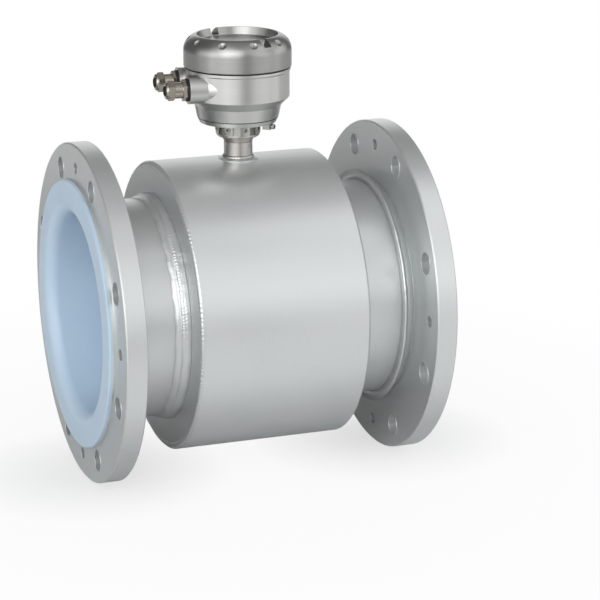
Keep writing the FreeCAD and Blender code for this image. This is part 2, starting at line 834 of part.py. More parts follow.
waist = "(box_waist_diameter / 2)"
side_wall = "(box_diameter / 2)"
box_spigot = "(box_spigot_diameter / 2)"
cavity = f"({box_spigot} - box_wall)"
connection_box = turned(
    "connection_box", "Z",
    (spigot, box_foot),
    ("box_foot_diameter / 2", box_foot),
    (waist, "box_waist"),
    (side_wall, "box_chamfer_top"),
    (side_wall, "box_shoulder - box_lip_height - box_lip"),
    (f"{side_wall} + box_lip", "box_shoulder - box_lip_height"),
    (f"{side_wall} + box_lip", "box_shoulder"),
    (box_spigot, "box_shoulder"),
    (box_spigot, "box_spigot_top"),
    (spigot, "box_spigot_top"),
)
for across in ("-gland_spacing / 2", "gland_spacing / 2"):
    add_prism(connection_box, "YZ_Plane", "-boss_end", "-boss_flare_end",
              (across, "gland_height", "boss_diameter"))
    flare = connection_box.newObject("PartDesign::AdditiveCone", "boss_flare")
    flare.Placement.Rotation = Rotation(Vector(0, 1, 0), -90)
    bind(flare, Radius1="boss_flare_diameter / 2", Radius2="boss_diameter / 2",
         Height="boss_flare_start - boss_flare_end", Placement__Base__x="-boss_flare_end",
         Placement__Base__y=across, Placement__Base__z="gland_height")
    doc.recompute()
grooved(
    connection_box, "Z",
    ("0", "box_floor"),
    (f"{waist} - box_wall", "box_floor"),
    (f"{waist} - box_wall", "box_waist + box_wall / 2"),
    (cavity, "box_chamfer_top + box_wall / 2"),
    (cavity, "box_spigot_top"),
    ("0", "box_spigot_top"),
)
cut_prism(connection_box, "YZ_Plane", "-boss_end", "-boss_bore_end",
          ("-gland_spacing / 2", "gland_height", "gland_thread"),
          ("gland_spacing / 2", "gland_height", "gland_thread"))
place(connection_box, Rotation(Vector(0, 0, 1), value("gland_turn")))

lock_nut = new_body("box_lock_nut")
add_prism(lock_nut, "XY_Plane", "box_floor", "box_floor + lock_nut_height", hexagon("lock_nut"))
cut_prism(lock_nut, "XY_Plane", "box_floor", "box_floor + lock_nut_height", ("0", "0", "spigot_diameter"))

# Ground connection: a lug under the base plate and a socket-head clamping screw.
lug_top = "ring_nut_top"
lug = new_body("ground_lug")
add_prism(lug, "XY_Plane", f"{lug_top} - ground_block_height", lug_top,
          rectangle("ground_block_start", "ground_block_end",
                    "-ground_block_width / 2", "ground_block_width / 2"))
cut_prism(lug, "YZ_Plane", "ground_block_start", "ground_block_end",
          ("0", "ground_screw_level", "ground_screw_shank"))
place(lug, Rotation(Vector(0, 0, 1), value("ground_turn")))

ground_screw = turned(
    "ground_screw", "Z",
    ("0", "ground_block_start"),
    ("ground_screw_shank / 2", "ground_block_start"),
    ("ground_screw_shank / 2", "ground_block_end + ground_screw_gap"),
    ("ground_screw_head / 2", "ground_block_end + ground_screw_gap"),
    ("ground_screw_head / 2", "ground_screw_end - ground_screw_chamfer"),
    ("ground_screw_head / 2 - ground_screw_chamfer", "ground_screw_end"),
    ("0", "ground_screw_end"),
)
cut_prism(ground_screw, "XY_Plane", "ground_screw_end - ground_screw_socket", "ground_screw_end",
          hexagon("ground_screw_head / 2"))
place(ground_screw, Rotation(Vector(0, 0, 1), value("ground_turn")) * Rotation(Vector(0, 1, 0), 90),
      z="ground_screw_level")

# ---------------------------------------------------------------------- lid
# A heavy turned lid, screwed over the box on a flat seal, with dimples and a bar slot.

lid_foot = "(box_shoulder + lid_seal_thickness)"
lid_side = "(lid_diameter / 2)"
thread = f"({box_spigot} + lid_thread_clearance)"
turned(
    "lid_seal", "Z",
    ("lid_seal_bore / 2", "box_shoulder"),
    ("lid_seal_diameter / 2", "box_shoulder", "lid_seal_bulge"),
    ("lid_seal_diameter / 2", lid_foot),
    ("lid_seal_bore / 2", lid_foot),
)
lid = turned(
    "lid", "Z",
    ("0", "lid_ceiling"),
    ("lid_cavity_diameter / 2", "lid_ceiling"),
    ("lid_cavity_diameter / 2", "lid_thread_top"),
    (thread, "lid_thread_top"),
    (thread, lid_foot),
    (f"{lid_side} - lid_foot_chamfer", lid_foot),
    (lid_side, f"{lid_foot} + lid_foot_chamfer"),
    (lid_side, "lid_side_top", "lid_shoulder_radius"),
    ("lid_rim_diameter / 2", "lid_rim_top"),
    ("lid_rim_diameter / 2 - lid_rim_land", "lid_rim_top"),
    ("lid_recess_diameter / 2", "lid_recess_floor"),
    ("0", "lid_recess_floor"),
)
shoulder_centre = f"({lid_side} - lid_shoulder_radius)"
dimple_lean = f"((dimple_circle / 2 - {shoulder_centre}) / lid_shoulder_radius)"
dimple_reach = "(lid_shoulder_radius + dimple_radius - dimple_depth)"
dimple = lid.newObject("PartDesign::SubtractiveSphere", "lid_dimple")
bind(dimple, Radius="dimple_radius",
     Placement__Base__y=f"-({shoulder_centre} + {dimple_reach} * {dimple_lean})",
     Placement__Base__z=f"lid_side_top + {dimple_reach} * sqrt(1 - {dimple_lean} ^ 2)")
doc.recompute()
repeat_round(lid, dimple, "Z", "dimple_count")
bar = cut_prism(lid, "XY_Plane", "lid_recess_floor + bar_slot_rise", "lid_rim_top + bar_slot",
                rectangle("-bar_slot / 2", "bar_slot / 2", "-lid_diameter", "lid_diameter"))
bind(bar.Profile[0], AttachmentOffset__Rotation__Angle="bar_slot_turn")

# ---------------------------------------------------------------- terminals
# A moulded carrier on two posts with a seven-way terminal block.

carrier = new_body("terminal_carrier")
carrier_top = "(carrier_height + carrier_thickness)"
add_prism(carrier, "XY_Plane", "carrier_height", carrier_top, ("0", "0", "carrier_diameter"))
for across in ("-carrier_post_spacing / 2", "carrier_post_spacing / 2"):
    add_prism(carrier, "XY_Plane", "box_floor", "carrier_height", (across, "0", "carrier_post"))
cut_prism(carrier, "XY_Plane", "carrier_height", carrier_top, ("0", "0", "carrier_opening"))

block = new_body("terminal_block")
block_front = "terminal_offset"
block_back = "(terminal_offset + terminal_width)"
block_top = f"({carrier_top} + terminal_height)"
add_prism(block, "YZ_Plane", "-terminal_length / 2", "terminal_length / 2", [
    (block_front, carrier_top),
    (block_back, carrier_top),
    (block_back, f"{block_top} - terminal_step / 2"),
    (f"{block_back} - terminal_step / 2", f"{block_top} - terminal_step / 2"),
    (f"{block_back} - terminal_step / 2", block_top),
    (f"{block_front} + terminal_step / 2", block_top),
    (f"{block_front} + terminal_step / 2", f"{block_top} - terminal_step / 2"),
    (block_front, f"{block_top} - terminal_step / 2"),
])
ways = int(value("terminal_count"))
pitch = "((terminal_length - 2 * terminal_end_wall) / terminal_count)"
way_places = [f"({number} - (terminal_count - 1) / 2) * {pitch}" for number in range(ways)]
block_middle = "(terminal_offset + terminal_width / 2)"
cut_prism(block, "XY_Plane", f"{block_top} - terminal_screw_well", block_top,
          *[(across, block_middle, "terminal_screw") for across in way_places])

screw_top = f"({block_top} - terminal_screw_well + terminal_screw_head)"
screws = []
for number, across in enumerate(way_places):
    head = doc.addObject("Part::Cylinder", f"terminal_screw_{number}_head")
    bind(head, Radius="terminal_screw / 2", Height="terminal_screw_head",
         Placement__Base__x=across, Placement__Base__y=block_middle,
         Placement__Base__z=f"{block_top} - terminal_screw_well")
    slot = doc.addObject("Part::Box", f"terminal_screw_{number}_slot")
    bind(slot, Length="terminal_screw_slot", Width="terminal_screw", Height="terminal_screw_slot_depth",
         Placement__Base__x=f"{across} - terminal_screw_slot / 2",
         Placement__Base__y=f"{block_middle} - terminal_screw / 2",
         Placement__Base__z=f"{screw_top} - terminal_screw_slot_depth")
    screw = doc.addObject("Part::Cut", f"terminal_screw_{number}")
    screw.Base = head
    screw.Tool = slot
    screws.append(screw)
group("terminal_screws", screws)

# ------------------------------------------------------------- cable glands
# Each is built up Z from the boss's face, then turned to point against the flow.

cap_outside = "(cap_nut_hex / 2)"
cap_inside = "(gland_spigot_diameter / 2 + cap_thread_clearance)"
cap_hole = "(insert_diameter / 2 - insert_clearance)"
tip = "(insert_diameter / 2 - 2 * insert_clearance)"


def gland(name, across):
    washer = ring(name + "_gland_washer", "Z", "gland_thread / 2", "gland_washer / 2",
                  "0", "gland_washer_thickness")
    body = turned(
        name + "_gland_body", "Z",
        ("gland_bore / 2", "-gland_thread_length"),
        ("gland_thread / 2", "-gland_thread_length"),
        ("gland_thread / 2", "gland_washer_thickness"),
        ("gland_body_diameter / 2", "gland_washer_thickness"),
        ("gland_body_diameter / 2", "gland_body_end"),
        ("gland_spigot_diameter / 2", "gland_body_end"),
        ("gland_spigot_diameter / 2", "gland_spigot_end"),
        ("insert_diameter / 2 + insert_clearance", "gland_spigot_end"),
        ("insert_diameter / 2 + insert_clearance", "gland_body_end"),
        ("gland_bore / 2", "gland_body_end"),
    )
    add_prism(body, "XY_Plane", "gland_washer_thickness",
              "gland_washer_thickness + gland_hex_height", hexagon("gland_hex"))
    cut_prism(body, "XY_Plane", "-gland_thread_length", "gland_body_end", ("0", "0", "gland_bore"))
    insert = turned(
        name + "_gland_insert", "Z",
        ("insert_bore / 2", "gland_body_end + insert_clearance"),
        ("insert_diameter / 2", "gland_body_end + insert_clearance"),
        ("insert_diameter / 2", "cap_nut_hex_end - insert_shoulder"),
        (tip, "cap_nut_hex_end - insert_shoulder / 2"),
        (tip, "insert_tip - insert_tip_chamfer"),
        (f"{tip} - insert_tip_chamfer", "insert_tip"),
        ("insert_bore / 2", "insert_tip"),
    )
    cap = new_body(name + "_gland_cap")
    add_prism(cap, "XY_Plane", "cap_nut_start", "cap_nut_hex_end", hexagon("cap_nut_hex"))
    corner = f"({cap_outside} * 2 / sqrt(3))"
    for outer, inner in (("cap_nut_start", "cap_nut_start + cap_nut_chamfer"),
                         ("cap_nut_hex_end", "cap_nut_hex_end - cap_nut_chamfer")):
        grooved(cap, "Z", (cap_outside, outer), ("cap_nut_hex", outer), ("cap_nut_hex", inner),
                (corner, inner))
    dome = new_sketch(cap)
    draw_outline(dome, [
        ("0", "cap_nut_hex_end"),
        (f"{cap_outside} - cap_nut_dome_setback", "cap_nut_hex_end", "cap_nut_end - cap_nut_hex_end"),
        ("cap_nut_end_diameter / 2", "cap_nut_end"),
        ("0", "cap_nut_end"),
    ])
    domed = cap.newObject("PartDesign::Revolution", name + "_gland_dome")
    domed.Profile = dome
    domed.ReferenceAxis = (dome, ["V_Axis"])
    domed.Angle = 360
    doc.recompute()
    grooved(
        cap, "Z",
        ("0", "cap_nut_start"),
        (cap_inside, "cap_nut_start"),
        (cap_inside, "cap_nut_hex_end - cap_roof"),
        (cap_hole, "cap_nut_hex_end - cap_roof / 2"),
        (cap_hole, "cap_nut_end"),
        ("0", "cap_nut_end"),
    )
    for piece in (washer, body, insert, cap):
        place(piece, Rotation(Vector(0, 0, 1), value("gland_turn")) * Rotation(Vector(0, 1, 0), -90),
              x=f"-boss_end * cos(gland_turn) - ({across}) * sin(gland_turn)",
              y=f"-boss_end * sin(gland_turn) + ({across}) * cos(gland_turn)", z="gland_height")


gland("front", "-gland_spacing / 2")
gland("rear", "gland_spacing / 2")

# ------------------------------------------------------------------- export

doc.recompute()
for item in doc.Objects:
    if "Invalid" in item.State or "Error" in item.State:
        raise SystemExit(f"{item.Label} failed to recompute: {item.State}")
for item in parts:
    if item.Shape.isNull() or not item.Shape.isValid() or not item.Shape.Solids:
        raise SystemExit(f"{item.Label} has no valid shape")

os.makedirs("parts", exist_ok=True)
for item in parts:
    item.Shape.exportStep(f"parts/{item.Label}.step")
print(len(parts), "parts")
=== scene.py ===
"""The looks of an electromagnetic flow sensor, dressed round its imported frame.

Metres. X runs along the flow, Z up the neck, and the origin is the middle of the bore.
"""

import json
import math

import bmesh
import bpy
from mathutils import Matrix, Vector, noise


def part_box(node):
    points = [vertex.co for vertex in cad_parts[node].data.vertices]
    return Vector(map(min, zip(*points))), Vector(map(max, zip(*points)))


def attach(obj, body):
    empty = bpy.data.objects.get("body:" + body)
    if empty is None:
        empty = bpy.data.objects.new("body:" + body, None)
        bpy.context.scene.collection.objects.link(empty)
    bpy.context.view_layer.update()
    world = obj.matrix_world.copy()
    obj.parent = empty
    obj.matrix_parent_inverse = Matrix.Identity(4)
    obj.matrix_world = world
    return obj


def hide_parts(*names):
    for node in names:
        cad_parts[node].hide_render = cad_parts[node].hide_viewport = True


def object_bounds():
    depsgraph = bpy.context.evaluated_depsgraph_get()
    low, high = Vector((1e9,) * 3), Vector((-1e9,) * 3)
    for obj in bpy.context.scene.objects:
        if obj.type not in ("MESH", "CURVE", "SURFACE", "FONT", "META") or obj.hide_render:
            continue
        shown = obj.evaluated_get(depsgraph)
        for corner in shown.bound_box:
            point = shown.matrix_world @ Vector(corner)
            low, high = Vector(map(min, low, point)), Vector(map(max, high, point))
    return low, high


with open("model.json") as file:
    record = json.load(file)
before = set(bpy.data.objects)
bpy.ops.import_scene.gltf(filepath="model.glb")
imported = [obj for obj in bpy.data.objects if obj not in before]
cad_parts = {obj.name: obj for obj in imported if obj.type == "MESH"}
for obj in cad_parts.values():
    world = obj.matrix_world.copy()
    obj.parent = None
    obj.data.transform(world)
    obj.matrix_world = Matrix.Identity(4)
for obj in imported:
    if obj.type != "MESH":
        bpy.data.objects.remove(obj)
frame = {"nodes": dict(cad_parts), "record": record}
cad_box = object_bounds()
nodes = frame["nodes"]

# ------------------------------------------------------- flanges and measuring tube
# Plate flanges, turned and drilled from carbon steel and welded to a seamless tube.
# Sprayed with two-pack silver paint: satin, with a fine orange peel and aluminium flake.

PAINT_LIGHT = "#D3D6D6"
PAINT_DARK = "#C2C6C6"
PAINT_METALLIC = 0.72
PAINT_PEEL_WIDTH = 0.0028
PAINT_PEEL_DEPTH = 0.00004
PAINT_PEEL_STRENGTH = 0.35
PAINT_FLAKE = 0.0009  # coarser than real flake, which is too fine to show
PAINT_CLOUD = 0.11
PAINT_EDGE_RADIUS = 0.0007
PAINT_RIM = 0.0005
RIM_SIDES = 8
RIM_STEPS = 48
BOLT_HOLE = 0.022
FLANGE_THICKNESS = 0.021

# The numbers of a Mix node's colour sockets, which share their names with its other sockets.
COLOUR_A, COLOUR_B, COLOUR_OUT = 6, 7, 2
# The range that a noise texture seldom leaves.
NOISE_RANGE = {"From Min": 0.3, "From Max": 0.7}
EDGE_SAMPLES = 4


def linear(colour):
    """An sRGB hex colour as linear values, with an alpha of 1."""
    values = [int(colour[start:start + 2], 16) / 255 for start in (1, 3, 5)]
    return [v / 12.92 if v <= 0.04045 else ((v + 0.055) / 1.055) ** 2.4 for v in values] + [1.0]


def add_node(tree, kind, inputs=None, **settings):
    """Adds a node. An input is a value or another node's output, by the socket's name or number."""
    node = tree.nodes.new(kind)
    for name, setting in settings.items():
        setattr(node, name, setting)
    for name, value in (inputs or {}).items():
        if isinstance(value, bpy.types.NodeSocket):
            tree.links.new(value, node.inputs[name])
        else:
            node.inputs[name].default_value = value
    return node


def new_material(name):
    """A material with its node tree, its shader and the object coordinates."""
    material = bpy.data.materials.new(name)
    material.use_nodes = True
    tree = material.node_tree
    place = add_node(tree, "ShaderNodeTexCoord").outputs["Object"]
    return material, tree, tree.nodes["Principled BSDF"], place


def dress(material, *names):
    """Gives CAD nodes a finish."""
    for name in names:
        for slot in nodes[name].material_slots:
            slot.material = material


def silver_paint(name, smoothest, roughest):
    """Soft highlights with a slight cloud, a faint sparkle of flake and the ripple of sprayed paint."""
    material, tree, shader, place = new_material(name)
    cloud = add_node(tree, "ShaderNodeTexNoise", {"Vector": place, "Scale": 1 / PAINT_CLOUD, "Detail": 3.0})
    flake = add_node(tree, "ShaderNodeTexNoise", {"Vector": place, "Scale": 1 / PAINT_FLAKE, "Detail": 1.0})
    both = add_node(tree, "ShaderNodeMath", {0: cloud.outputs["Fac"], 1: flake.outputs["Fac"]}, operation="ADD")
    colour = add_node(tree, "ShaderNodeMix", {
        "Factor": both.outputs[0], COLOUR_A: linear(PAINT_DARK), COLOUR_B: linear(PAINT_LIGHT)}, data_type="RGBA")
    satin = add_node(tree, "ShaderNodeMapRange", {
        "Value": cloud.outputs["Fac"], **NOISE_RANGE, "To Min": smoothest, "To Max": roughest})
    peel = add_node(tree, "ShaderNodeTexNoise", {"Vector": place, "Scale": 1 / PAINT_PEEL_WIDTH, "Detail": 2.0})
    edges = add_node(tree, "ShaderNodeBevel", {"Radius": PAINT_EDGE_RADIUS}, samples=EDGE_SAMPLES)
    bump = add_node(tree, "ShaderNodeBump", {
        "Height": peel.outputs["Fac"], "Strength": PAINT_PEEL_STRENGTH, "Distance": PAINT_PEEL_DEPTH,
        "Normal": edges.outputs[0]})
    tree.links.new(colour.outputs[COLOUR_OUT], shader.inputs["Base Color"])
    tree.links.new(satin.outputs["Result"], shader.inputs["Roughness"])
    tree.links.new(bump.outputs["Normal"], shader.inputs["Normal"])
    shader.inputs["Metallic"].default_value = PAINT_METALLIC
    return material


paint = silver_paint("two_pack_silver_paint", 0.32, 0.38)
dress(paint, "inlet_flange", "outlet_flange", "measuring_tube")


def smooth(bm, name, body, material):
    """Makes the bmesh a smooth piece on a body, with its finish."""
    bmesh.ops.recalc_face_normals(bm, faces=bm.faces)
    for face in bm.faces:
        face.smooth = True
    mesh = bpy.data.meshes.new(name)
    bm.to_mesh(mesh)
    bm.free()
    piece = bpy.data.objects.new(name, mesh)
    bpy.context.scene.collection.objects.link(piece)
    mesh.materials.append(material)
    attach(piece, body)
    return piece


def add_ring(bm, start, centre, axis, radius, sides, steps):
    """Spins a small circle, upright at its start, about an axis: a ring of paint or sealant."""
    place = Matrix.Translation(start) @ Matrix.Rotation(math.pi / 2, 4, "X")
    verts = bmesh.ops.create_circle(bm, segments=sides, radius=radius, matrix=place)["verts"]
    edges = list(dict.fromkeys(edge for vert in verts for edge in vert.link_edges))
    bmesh.ops.spin(bm, geom=verts + edges, cent=centre, axis=axis, dvec=(0, 0, 0), angle=2 * math.pi,
                   steps=steps, use_merge=True)


def paint_rims(name, end, faces):
    """The thick round line of paint on the edges of an end's bolt holes, on both faces."""
    bm = bmesh.new()
    for opening in frame["record"]["physics"]["openings"]:
        if not opening["name"].startswith(end + "_bolt_hole"):
            continue
        low, high = opening["box_m"]
        for face in faces:
            middle = Vector((face, (low[1] + high[1]) / 2, (low[2] + high[2]) / 2))
            top = middle + Vector((0, 0, BOLT_HOLE / 2))
            add_ring(bm, top, middle, (1, 0, 0), PAINT_RIM, RIM_SIDES, RIM_STEPS)
    smooth(bm, name, "sensor", paint)


for end, side in (("inlet", -1), ("outlet", 1)):
    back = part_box(end + "_flange")[1 if side < 0 else 0].x
    paint_rims(end + "_hole_rims", end, (back, back + side * FLANGE_THICKNESS))

# ------------------------------------------------------------------- flange welds
# Fillet welds of carbon steel wire between the flange's back and the tube, in two passes.
# The arc's steps freeze as crescents, and the paint over them keeps their relief.

BEAD_STEPS = 14
ROOT_DEPTH = 0.0004
RIPPLE_STEPS = 6
HIDDEN = -1.0
LAST_PASS_EDGE = 1e-4  # keeps a bead's last point in its last pass

# Shares of a ripple's pitch: its unevenness, the offset between passes, and how far its ends trail.
RIPPLE_UNEVENNESS = 0.45
PASS_OFFSET = 0.37
CRESCENT = 0.55
# Shares of a ripple's height: the part that cuts in, what is left at a pass's edges, and the least
# and the varying part of the height round the bead.
RIPPLE_CUT = 0.55
PASS_EDGE = 0.35
SWELL_LEAST = 0.7
SWELL_VARYING = 0.9
# A pass's own crown beside its ripples' height, and the part of it below the bead's crest line.
PASS_CROWN = 0.6
PASS_CROWN_CUT = 0.7
# Shares of the wander: the bead's slow rise and fall, and the finer wander of its toes.
RISE_AND_FALL = 0.4
FINE_WANDER = 0.25
# How quickly each of these changes round the bead, and how far apart the passes' noises lie.
UNEVENNESS_RATE = 23
SWELL_RATE = 7
RISE_RATE = 5
WANDER_RATE = 7
FINE_WANDER_RATE = 22
PASS_APART = 3

# Where the two passes meet, as shares of the bead's length and height, and each pass's crown.
FLANGE_BEAD_STEP = (0.30, 0.42)
FLANGE_BEAD_RISES = (0.0003, 0.0005)
FLANGE_BEAD = {"passes": 2, "pitch": 0.0034, "height": 0.0004, "wander": 0.0008}


def crowned(start, end, rise, steps):
    """Points from start to end along a shallow crown."""
    start, end = Vector(start), Vector(end)
    out = Vector((start.y - end.y, end.x - start.x)).normalized()
    if out.y < 0:
        out = -out
    return [start.lerp(end, n / steps) + out * rise * 4 * (n / steps) * (1 - n / steps) for n in range(steps + 1)]


def weld_bead(name, axis, crest, root, from_face, passes, pitch, height, wander, material, slot):
    """Turns a bead's crest round an axis and raises its ripples. Points are (along, radius).

    Each end of the crest wanders over what it lies on: a bead from a flat face wanders radially at its
    start and along the tube at its end, and any other the other way round.
    """
    bm = bmesh.new()
    across = bm.verts.layers.float.new("across")
    along_axis = Vector((1, 0, 0)) if axis == "X" else Vector((0, 0, 1))
    outward = Vector((0, 0, 1)) if axis == "X" else Vector((1, 0, 0))
    profile = []
    for number, point in enumerate(crest):
        vert = bm.verts.new(along_axis * point[0] + outward * point[1])
        vert[across] = number / (len(crest) - 1)
        profile.append(vert)
    hidden = bm.verts.new(along_axis * root[0] + outward * root[1])
    hidden[across] = HIDDEN
    profile.append(hidden)
    edges = [bm.edges.new((a, b)) for a, b in zip(profile, profile[1:] + profile[:1])]
    ripples = round(2 * math.pi * crest[0][1] / pitch)
    bmesh.ops.spin(bm, geom=profile + edges, cent=(0, 0, 0), axis=along_axis, dvec=(0, 0, 0),
                   angle=2 * math.pi, steps=ripples, use_merge=True)
    round_edges = [edge for edge in bm.edges if edge.verts[0][across] == edge.verts[1][across]]
    bmesh.ops.subdivide_edges(bm, edges=round_edges, cuts=RIPPLE_STEPS - 1)
    for vert in bm.verts:
        place = vert[across]
        if place < 0:
            continue
        along = vert.co.dot(along_axis)
        radial = vert.co - along_axis * along
        turn = math.atan2(vert.co.y, vert.co.z if axis == "X" else vert.co.x)
        this_pass, within = divmod(min(place * passes, passes - LAST_PASS_EDGE), 1)
        round_it = Vector((math.cos(turn), math.sin(turn), this_pass * PASS_APART))

        travel = turn * crest[0][1] / pitch + this_pass * PASS_OFFSET
        travel += RIPPLE_UNEVENNESS * noise.noise(round_it * UNEVENNESS_RATE)
        scallop = abs(math.sin(math.pi * (travel + CRESCENT * (2 * within - 1) ** 2)))
        crown = math.sin(math.pi * within)
        swell = height * (SWELL_LEAST + SWELL_VARYING * noise.noise(round_it * SWELL_RATE))
        lift = swell * (scallop - RIPPLE_CUT) * (PASS_EDGE + (1 - PASS_EDGE) * crown)
        if passes > 1:
            lift += height * PASS_CROWN * (crown - PASS_CROWN_CUT)
        lift += wander * RISE_AND_FALL * noise.noise(round_it * RISE_RATE)
        lift *= math.sin(math.pi * place)

        sway = wander * (noise.noise(round_it * WANDER_RATE) +
                         FINE_WANDER * noise.noise(round_it * FINE_WANDER_RATE))
        sway_along, sway_out = (1 - place) ** 2, place ** 2
        if from_face:
            sway_along, sway_out = sway_out, sway_along
        spread = Vector((along - root[0], radial.length - root[1])).normalized()
        vert.co += along_axis * (spread.x * lift + sway * sway_along)
        vert.co += radial.normalized() * (spread.y * lift + sway * sway_out)
    return smooth(bm, name, "sensor", material)


weld_paint = silver_paint("silver_paint_on_weld", 0.30, 0.36)
tube_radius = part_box("measuring_tube")[1].z
for end, side in (("inlet", -1), ("outlet", 1)):
    low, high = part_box(end + "_flange_weld")
    back, toe = (high.x, low.x) if side < 0 else (low.x, high.x)
    along, up = FLANGE_BEAD_STEP
    step = (back + (toe - back) * along, tube_radius + (high.z - tube_radius) * up)
    upper = crowned((back, high.z), step, FLANGE_BEAD_RISES[0], BEAD_STEPS // 2)
    lower = crowned(step, (toe, tube_radius - ROOT_DEPTH), FLANGE_BEAD_RISES[1], BEAD_STEPS // 2)
    root = (back - side * ROOT_DEPTH, tube_radius - ROOT_DEPTH)
    bead = weld_bead(end + "_flange_bead", "X", upper + lower[1:], root, from_face=True, **FLANGE_BEAD,
                     material=weld_paint, slot="painted_weld")
    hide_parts(end + "_flange_weld")

# -------------------------------------------------------------------------- liner
# Pale blue polypropylene, moulded into the tube and turned over both raised faces.
# The mould leaves a semigloss skin; the sealing faces are skimmed on a lathe.

LINER_LIGHT = "#C6DAEA"
LINER_DARK = "#B8CEE3"
LINER_CLOUD = 0.06
LINER_GRAIN = 0.0012
LINER_RELIEF = 0.00004
LINER_RELIEF_STRENGTH = 0.25
LINER_SMOOTHEST = 0.30
LINER_ROUGHEST = 0.38
LINER_GLOW = 0.12
LINER_GLOW_DEPTH = (0.004, 0.004, 0.005)
SKIM_PITCH = 0.0011
SKIM_DEPTH = 0.0003


def rings(tree, place, axis, pitch):
    """Lathe marks about an axis through the origin: they change with radius and along it."""
    parts = add_node(tree, "ShaderNodeSeparateXYZ", {"Vector": place})
    along = parts.outputs[axis]
    others = [parts.outputs[name] for name in "XYZ" if name != axis]
    flat = add_node(tree, "ShaderNodeCombineXYZ", {0: others[0], 1: others[1]})
    radius = add_node(tree, "ShaderNodeVectorMath", {0: flat.outputs[0]}, operation="LENGTH")
    section = add_node(tree, "ShaderNodeCombineXYZ", {0: radius.outputs["Value"], 1: along})
    return add_node(tree, "ShaderNodeTexNoise", {"Vector": section.outputs[0], "Scale": 1 / pitch, "Detail": 3.0},
                    noise_dimensions="2D").outputs["Fac"]


def liner_plastic():
    """A soft sheen over a slightly milky blue, with fine rings on the sealing faces."""
    material, tree, shader, place = new_material("moulded_polypropylene")
    cloud = add_node(tree, "ShaderNodeTexNoise", {"Vector": place, "Scale": 1 / LINER_CLOUD, "Detail": 2.0})
    colour = add_node(tree, "ShaderNodeMix", {
        "Factor": cloud.outputs["Fac"], COLOUR_A: linear(LINER_DARK), COLOUR_B: linear(LINER_LIGHT)},
        data_type="RGBA")
    gloss = add_node(tree, "ShaderNodeMapRange", {
        "Value": cloud.outputs["Fac"], **NOISE_RANGE, "To Min": LINER_SMOOTHEST, "To Max": LINER_ROUGHEST})
    grain = add_node(tree, "ShaderNodeTexNoise", {"Vector": place, "Scale": 1 / LINER_GRAIN, "Detail": 2.0})
    skim = rings(tree, place, "X", SKIM_PITCH)
    parts = add_node(tree, "ShaderNodeSeparateXYZ", {"Vector": place})
    distance = add_node(tree, "ShaderNodeMath", {0: parts.outputs["X"]}, operation="ABSOLUTE")
    on_face = add_node(tree, "ShaderNodeMath", {0: distance.outputs[0], 1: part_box("liner")[1].x - SKIM_DEPTH},
                       operation="GREATER_THAN")
    relief = add_node(tree, "ShaderNodeMix", {"Factor": on_face.outputs[0], 2: grain.outputs["Fac"], 3: skim})
    bump = add_node(tree, "ShaderNodeBump", {
        "Height": relief.outputs[0], "Strength": LINER_RELIEF_STRENGTH, "Distance": LINER_RELIEF})
    tree.links.new(colour.outputs[COLOUR_OUT], shader.inputs["Base Color"])
    tree.links.new(gloss.outputs["Result"], shader.inputs["Roughness"])
    tree.links.new(bump.outputs["Normal"], shader.inputs["Normal"])
    shader.inputs["Subsurface Weight"].default_value = LINER_GLOW
    shader.inputs["Subsurface Radius"].default_value = LINER_GLOW_DEPTH
    shader.inputs["Subsurface Scale"].default_value = 1.0
    return material


dress(liner_plastic(), "liner")

# ------------------------------------------------------------------ magnet system
# Saddle coils of enamelled copper over curved pole shoes, in a rolled yoke of mild steel.
# The wire lies in even rows under clear varnish; the steel is dull, with a mill grain.

WIRE_PITCH = 0.0011
WIRE_UNEVENNESS = 0.4
WIRE_DEPTH = 0.0003
STEEL_GRAIN = 0.004
STEEL_GRAIN_DEPTH = 0.0001


def varnished_copper():
    """Dark orange round wire, turn beside turn, glossy under its varnish, with painted shade in the grooves and
    painted highlight on the crests.
    """
    material, tree, shader, place = new_material("varnished_copper_winding")
    wire_relief_and_shade = add_node(tree, "ShaderNodeTexWave", {
        "Vector": place, "Scale": math.pi / (10 * WIRE_PITCH), "Distortion": WIRE_UNEVENNESS, "Detail": 1.0},
        wave_type="RINGS", rings_direction="Z")
    # The colour follows the wire's relief: painted shade darkens the grooves between the turns, and painted
    # highlight lightens their crests.
    colour = add_node(tree, "ShaderNodeMix", {
        "Factor": wire_relief_and_shade.outputs["Fac"], COLOUR_A: linear("#5E2C14"), COLOUR_B: linear("#B4632F")}, data_type="RGBA")
    bump = add_node(tree, "ShaderNodeBump", {
        "Height": wire_relief_and_shade.outputs["Fac"], "Strength": 0.6, "Distance": WIRE_DEPTH})
    tree.links.new(colour.outputs[COLOUR_OUT], shader.inputs["Base Color"])
    tree.links.new(bump.outputs["Normal"], shader.inputs["Normal"])
    shader.inputs["Metallic"].default_value = 0.8
    shader.inputs["Roughness"].default_value = 0.3
    return material


def mill_steel():
    """Dull blue-grey scale with a blotchy grain."""
    material, tree, shader, place = new_material("hot_rolled_steel")
    grain = add_node(tree, "ShaderNodeTexNoise", {"Vector": place, "Scale": 1 / STEEL_GRAIN, "Detail": 5.0})
    colour = add_node(tree, "ShaderNodeMix", {
        "Factor": grain.outputs["Fac"], COLOUR_A: linear("#565A5D"), COLOUR_B: linear("#7C8083")}, data_type="RGBA")
    bump = add_node(tree, "ShaderNodeBump", {
        "Height": grain.outputs["Fac"], "Strength": 0.3, "Distance": STEEL_GRAIN_DEPTH})
    tree.links.new(colour.outputs[COLOUR_OUT], shader.inputs["Base Color"])
    tree.links.new(bump.outputs["Normal"], shader.inputs["Normal"])
    shader.inputs["Metallic"].default_value = 0.9
    shader.inputs["Roughness"].default_value = 0.52
    return material


dress(varnished_copper(), "upper_field_coil", "lower_field_coil")
dress(mill_steel(), "upper_pole_shoe", "lower_pole_shoe", "magnetic_yoke")

# --------------------------------------------------------------------- electrodes
# Polished nickel alloy pins, drawn out by disc springs through bushes of cream plastic.
# Their leads, and the coils' leads, are stranded wire in coloured insulation.

